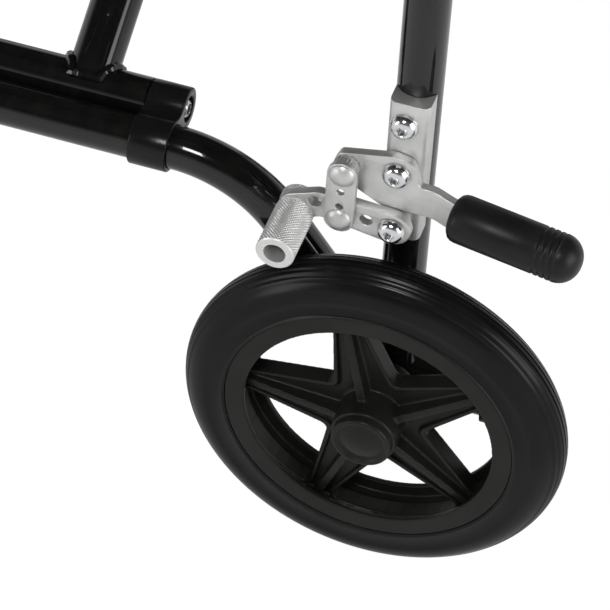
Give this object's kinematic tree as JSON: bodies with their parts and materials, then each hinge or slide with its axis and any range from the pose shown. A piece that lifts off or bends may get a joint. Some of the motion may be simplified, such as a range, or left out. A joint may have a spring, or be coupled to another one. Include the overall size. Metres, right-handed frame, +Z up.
{
  "type": "transport wheelchair",
  "caption": "Folding transport wheelchair: tube side frames, cross brace, sling seat and back, small spoked rear wheels with lever roller brakes, front casters and swing-away leg rests.",
  "frame": {"origin": "on the floor under the middle of the chair's overall box", "axes": "+X is the sitter's left, -Y is the front, +Z is up"},
  "size_m": [0.55, 0.8704, 0.931],
  "materials": {
    "frame_paint": "glossy black paint",
    "cast_aluminium": "satin silver",
    "knurl": "knurled, satin",
    "bright_steel": "bright zinc plate",
    "rim_plastic": "matte black moulded plastic",
    "tyre": "satin black",
    "black_rubber": "satin black rubber",
    "black_plastic": "satin black moulded plastic",
    "nylon": "black woven nylon",
    "pad_vinyl": "black padded vinyl",
    "bearing_steel": "ground steel"
  },
  "bodies": {
    "left_frame": {"left_lower_rail": "frame_paint", "left_rear_post": "frame_paint", "left_guide_rail": "frame_paint", "left_arm_frame": "frame_paint", "left_tip_cap": "black_rubber", "left_push_grip": "black_rubber", "left_rear_axle": "bright_steel", "left_brace_brackets": "black_plastic", "left_seat_saddles": "black_plastic", "left_arm_pad": "pad_vinyl", "left_side_panel": "black_plastic", "left_brake_bracket": "cast_aluminium", "left_bolts": "bright_steel", "back_sling": "nylon"},
    "right_frame": {"right_lower_rail": "frame_paint", "right_rear_post": "frame_paint", "right_guide_rail": "frame_paint", "right_arm_frame": "frame_paint", "right_tip_cap": "black_rubber", "right_push_grip": "black_rubber", "right_rear_axle": "bright_steel", "right_brace_brackets": "black_plastic", "right_seat_saddles": "black_plastic", "right_arm_pad": "pad_vinyl", "right_side_panel": "black_plastic", "right_brake_bracket": "cast_aluminium", "right_bolts": "bright_steel"},
    "left_brace": {"brace_left": "frame_paint", "centre_bolt": "bright_steel", "seat_sling": "nylon"},
    "right_brace": {"brace_right": "frame_paint"},
    "left_wheel": {"left_rear_tyre": "tyre", "left_rear_rim": "rim_plastic", "left_rear_bearings": "bearing_steel", "left_hub_cap": "rim_plastic"},
    "left_fork": {"left_caster_fork": "frame_paint"},
    "left_caster": {"left_caster_tyre": "tyre", "left_caster_rim": "rim_plastic"},
    "left_legrest": {"left_legrest_hanger": "frame_paint"},
    "left_footrest": {"left_footplate": "black_plastic"},
    "left_brake_lever_body": {"left_brake_lever": "cast_aluminium", "left_brake_knob": "black_rubber"},
    "left_brake_link_body": {"left_brake_link": "cast_aluminium"},
    "left_brake_arm_body": {"left_brake_arm": "cast_aluminium", "left_brake_roller": "knurl"},
    "right_wheel": {"right_rear_tyre": "tyre", "right_rear_rim": "rim_plastic", "right_rear_bearings": "bearing_steel", "right_hub_cap": "rim_plastic"},
    "right_fork": {"right_caster_fork": "frame_paint"},
    "right_caster": {"right_caster_tyre": "tyre", "right_caster_rim": "rim_plastic"},
    "right_legrest": {"right_legrest_hanger": "frame_paint"},
    "right_footrest": {"right_footplate": "black_plastic"},
    "right_brake_lever_body": {"right_brake_lever": "cast_aluminium", "right_brake_knob": "black_rubber"},
    "right_brake_link_body": {"right_brake_link": "cast_aluminium"},
    "right_brake_arm_body": {"right_brake_arm": "cast_aluminium", "right_brake_roller": "knurl"}
  },
  "joints": [
    {"name": "fold", "type": "hinge", "parent": "left_frame", "child": "left_brace", "pos_m": [0.1922, 0.06484, 0.2147], "axis": [0, 1, 0], "range_deg": [0, 40], "deforming": ["seat_sling", "back_sling"]},
    {"name": "brace_scissor", "type": "hinge", "parent": "left_brace", "child": "right_brace", "pos_m": [0, 0.06484, 0.33485], "axis": [0, 1, 0], "range_deg": [-81, 1]},
    {"name": "right_frame_fold", "type": "hinge", "parent": "right_brace", "child": "right_frame", "pos_m": [-0.1922, 0.06484, 0.2147], "axis": [0, 1, 0], "range_deg": [-1, 41]},
    {"name": "left_wheel_spin", "type": "hinge", "parent": "left_frame", "child": "left_wheel", "pos_m": [0.2507, 0.23983, 0.1], "axis": [1, 0, 0], "continuous": true},
    {"name": "left_caster_swivel", "type": "hinge", "parent": "left_frame", "child": "left_fork", "pos_m": [0.215, -0.16017, 0.178], "axis": [0, 0, 1], "continuous": true},
    {"name": "left_caster_spin", "type": "hinge", "parent": "left_fork", "child": "left_caster", "pos_m": [0.215, -0.12216, 0.075], "axis": [1, 0, 0], "continuous": true},
    {"name": "left_legrest_swing", "type": "hinge", "parent": "left_frame", "child": "left_legrest", "pos_m": [0.215, -0.18716, 0.37], "axis": [0, 0, 1], "range_deg": [0, 90]},
    {"name": "left_footplate_flip", "type": "hinge", "parent": "left_legrest", "child": "left_footrest", "pos_m": [0.215, -0.37916, 0.14], "axis": [0, 1, 0], "range_deg": [-90, 0]},
    {"name": "left_brake_lever_turn", "type": "hinge", "parent": "left_frame", "child": "left_brake_lever_body", "pos_m": [0.2332, 0.23783, 0.2511], "axis": [1, 0, 0], "range_deg": [0, 19.5]},
    {"name": "left_brake_link_turn", "type": "hinge", "parent": "left_brake_lever_body", "child": "left_brake_link_body", "pos_m": [0.2332, 0.21344, 0.2493], "axis": [1, 0, 0], "range_deg": [-22.45, 1]},
    {"name": "left_brake_arm_turn", "type": "hinge", "parent": "left_frame", "child": "left_brake_arm_body", "pos_m": [0.2332, 0.23883, 0.22], "axis": [1, 0, 0], "range_deg": [-1, 19.5]},
    {"name": "right_wheel_spin", "type": "hinge", "parent": "right_frame", "child": "right_wheel", "pos_m": [-0.2507, 0.23983, 0.1], "axis": [1, 0, 0], "continuous": true},
    {"name": "right_caster_swivel", "type": "hinge", "parent": "right_frame", "child": "right_fork", "pos_m": [-0.215, -0.16017, 0.178], "axis": [0, 0, 1], "continuous": true},
    {"name": "right_caster_spin", "type": "hinge", "parent": "right_fork", "child": "right_caster", "pos_m": [-0.215, -0.12216, 0.075], "axis": [1, 0, 0], "continuous": true},
    {"name": "right_legrest_swing", "type": "hinge", "parent": "right_frame", "child": "right_legrest", "pos_m": [-0.215, -0.18716, 0.37], "axis": [0, 0, -1], "range_deg": [0, 90]},
    {"name": "right_footplate_flip", "type": "hinge", "parent": "right_legrest", "child": "right_footrest", "pos_m": [-0.215, -0.37916, 0.14], "axis": [0, -1, 0], "range_deg": [-90, 0]},
    {"name": "right_brake_lever_turn", "type": "hinge", "parent": "right_frame", "child": "right_brake_lever_body", "pos_m": [-0.2332, 0.23783, 0.2511], "axis": [1, 0, 0], "range_deg": [0, 19.5]},
    {"name": "right_brake_link_turn", "type": "hinge", "parent": "right_brake_lever_body", "child": "right_brake_link_body", "pos_m": [-0.2332, 0.21344, 0.2493], "axis": [1, 0, 0], "range_deg": [-22.45, 1]},
    {"name": "right_brake_arm_turn", "type": "hinge", "parent": "right_frame", "child": "right_brake_arm_body", "pos_m": [-0.2332, 0.23883, 0.22], "axis": [1, 0, 0], "range_deg": [-1, 19.5]}
  ],
  "couplings": [
    {"joint": "brace_scissor", "follows": "fold", "ratio": -2},
    {"joint": "right_frame_fold", "follows": "fold", "ratio": 1},
    {"joint": "left_brake_link_turn", "follows": "left_brake_lever_turn", "ratio": -1.094},
    {"joint": "left_brake_arm_turn", "follows": "left_brake_lever_turn", "ratio": 0.9245},
    {"joint": "right_brake_link_turn", "follows": "right_brake_lever_turn", "ratio": -1.094},
    {"joint": "right_brake_arm_turn", "follows": "right_brake_lever_turn", "ratio": 0.9245}
  ]
}
